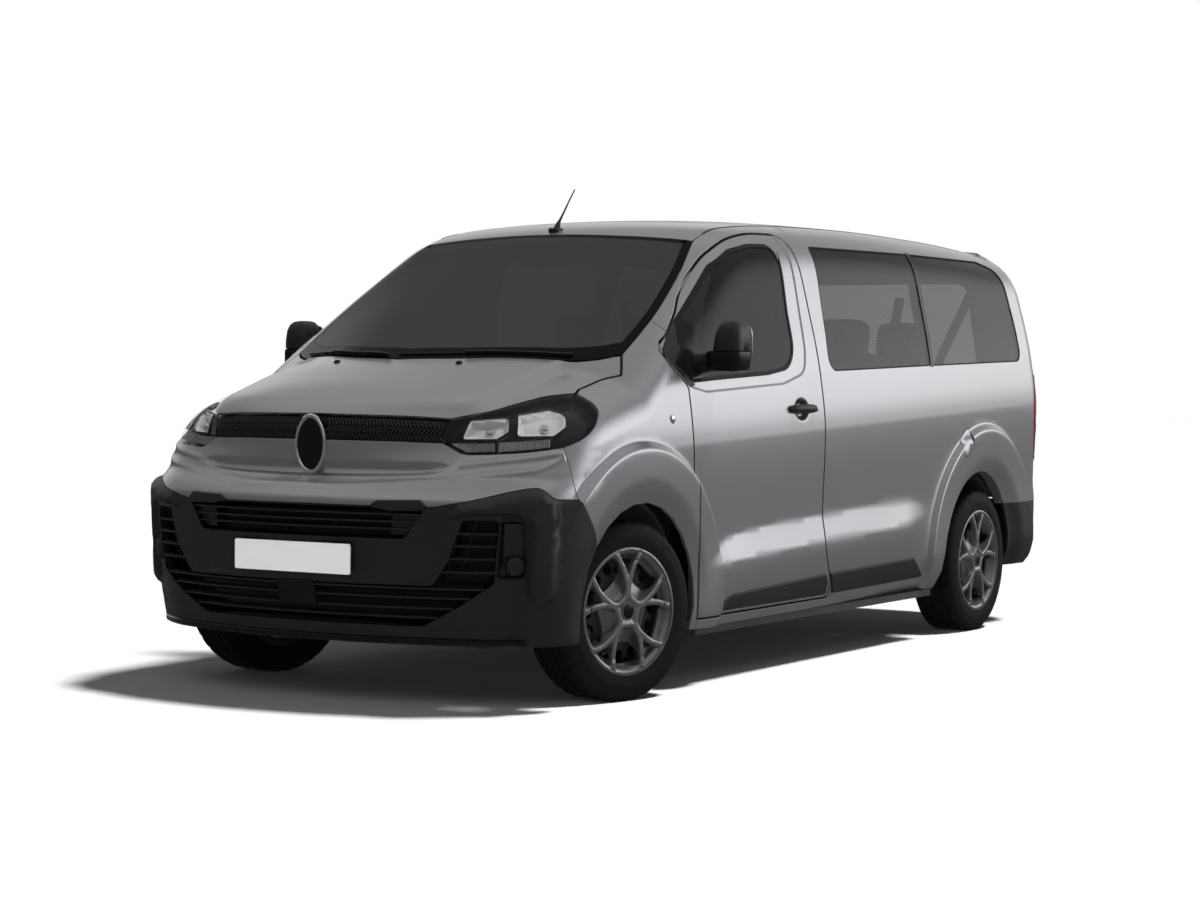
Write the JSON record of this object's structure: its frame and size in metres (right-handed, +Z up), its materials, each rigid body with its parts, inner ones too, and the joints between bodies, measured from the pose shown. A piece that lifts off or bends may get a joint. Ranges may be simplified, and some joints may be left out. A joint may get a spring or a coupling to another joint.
{
  "type": "minivan",
  "caption": "Passenger minivan with hinged front doors, hood and tailgate, steered front wheels and free-turning road wheels.",
  "frame": {"origin": "middle of the footprint, on the ground", "axes": "+X to the vehicle's left, -Y forward, +Z up"},
  "size_m": [2.2006, 4.977, 2.0029],
  "materials": {
    "paint": "metallic gloss",
    "dark_plastic": "grained",
    "glass": "tinted",
    "steel": "satin",
    "rubber": "matt",
    "silver": "painted silver",
    "white": "gloss",
    "red": "clear red",
    "clear": "clear",
    "cloth": "woven"
  },
  "bodies": {
    "body": {"body_side_left": "paint", "body_side_right": "paint", "sliding_door_right": "paint", "glass_slider": "glass", "glass_left_mid": "glass", "glass_left_rear": "glass", "glass_right_rear": "glass", "fender_left": "paint", "fender_right": "paint", "headlamp_left": "clear", "headlamp_right": "clear", "tail_lamp_left": "red", "tail_lamp_right": "red", "front_fascia": "paint", "grille_strip": "dark_plastic", "front_bumper": "dark_plastic", "grille_upper": "dark_plastic", "grille_lower": "dark_plastic", "windscreen": "glass", "roof_panel": "paint", "rear_bumper": "dark_plastic", "floor_pan": "steel", "front_structure": "steel", "front_subframe": "steel", "engine_block": "steel", "rear_axle": "steel", "dashboard": "dark_plastic", "steering_wheel": "dark_plastic", "driver_seat": "cloth", "passenger_seat": "cloth", "bench_row2": "cloth", "bench_row3": "cloth", "number_plate": "white", "roof_aerial": "dark_plastic"},
    "hood": {"hood": "paint"},
    "door_left": {"door_left": "paint", "glass_door_left": "glass", "mirror_left": "dark_plastic"},
    "door_right": {"door_right": "paint", "glass_door_right": "glass", "mirror_right": "dark_plastic"},
    "tailgate": {"tailgate": "paint", "glass_tailgate": "glass"},
    "steer_left": {"knuckle_left": "steel"},
    "steer_right": {"knuckle_right": "steel"},
    "wheel_front_left": {"tyre_front_left": "rubber", "wheel_front_left": "silver"},
    "wheel_front_right": {"tyre_front_right": "rubber", "wheel_front_right": "silver"},
    "wheel_rear_left": {"tyre_rear_left": "rubber", "wheel_rear_left": "silver"},
    "wheel_rear_right": {"tyre_rear_right": "rubber", "wheel_rear_right": "silver"}
  },
  "joints": [
    {"name": "hood_hinge", "type": "hinge", "parent": "body", "child": "hood", "pos_m": [0, -1.42, 1.31], "axis": [-1, 0, 0], "range_deg": [0, 45]},
    {"name": "door_left_hinge", "type": "hinge", "parent": "body", "child": "door_left", "pos_m": [0.975, -1.2, 0.9], "axis": [0, 0, -1], "range_deg": [0, 65]},
    {"name": "door_right_hinge", "type": "hinge", "parent": "body", "child": "door_right", "pos_m": [-0.975, -1.2, 0.9], "axis": [0, 0, 1], "range_deg": [0, 65]},
    {"name": "tailgate_hinge", "type": "hinge", "parent": "body", "child": "tailgate", "pos_m": [0, 2.4, 1.835], "axis": [1, 0, 0], "range_deg": [0, 85]},
    {"name": "steer_left", "type": "hinge", "parent": "body", "child": "steer_left", "pos_m": [0.765, -1.587, 0.337], "axis": [0, 0, 1], "range_deg": [-21, 49]},
    {"name": "steer_right", "type": "hinge", "parent": "body", "child": "steer_right", "pos_m": [-0.765, -1.587, 0.337], "axis": [0, 0, 1], "range_deg": [-21, 49]},
    {"name": "spin_front_left", "type": "hinge", "parent": "steer_left", "child": "wheel_front_left", "pos_m": [0.81351, -1.5991, 0.337], "axis": [0.9703, -0.2419, 0], "continuous": true},
    {"name": "spin_front_right", "type": "hinge", "parent": "steer_right", "child": "wheel_front_right", "pos_m": [-0.81351, -1.5749, 0.337], "axis": [0.9703, -0.2419, 0], "continuous": true},
    {"name": "spin_rear_left", "type": "hinge", "parent": "body", "child": "wheel_rear_left", "pos_m": [0.815, 1.688, 0.337], "axis": [1, 0, 0], "continuous": true},
    {"name": "spin_rear_right", "type": "hinge", "parent": "body", "child": "wheel_rear_right", "pos_m": [-0.815, 1.688, 0.337], "axis": [1, 0, 0], "continuous": true}
  ],
  "couplings": [
    {"joint": "steer_right", "follows": "steer_left", "ratio": 1}
  ]
}
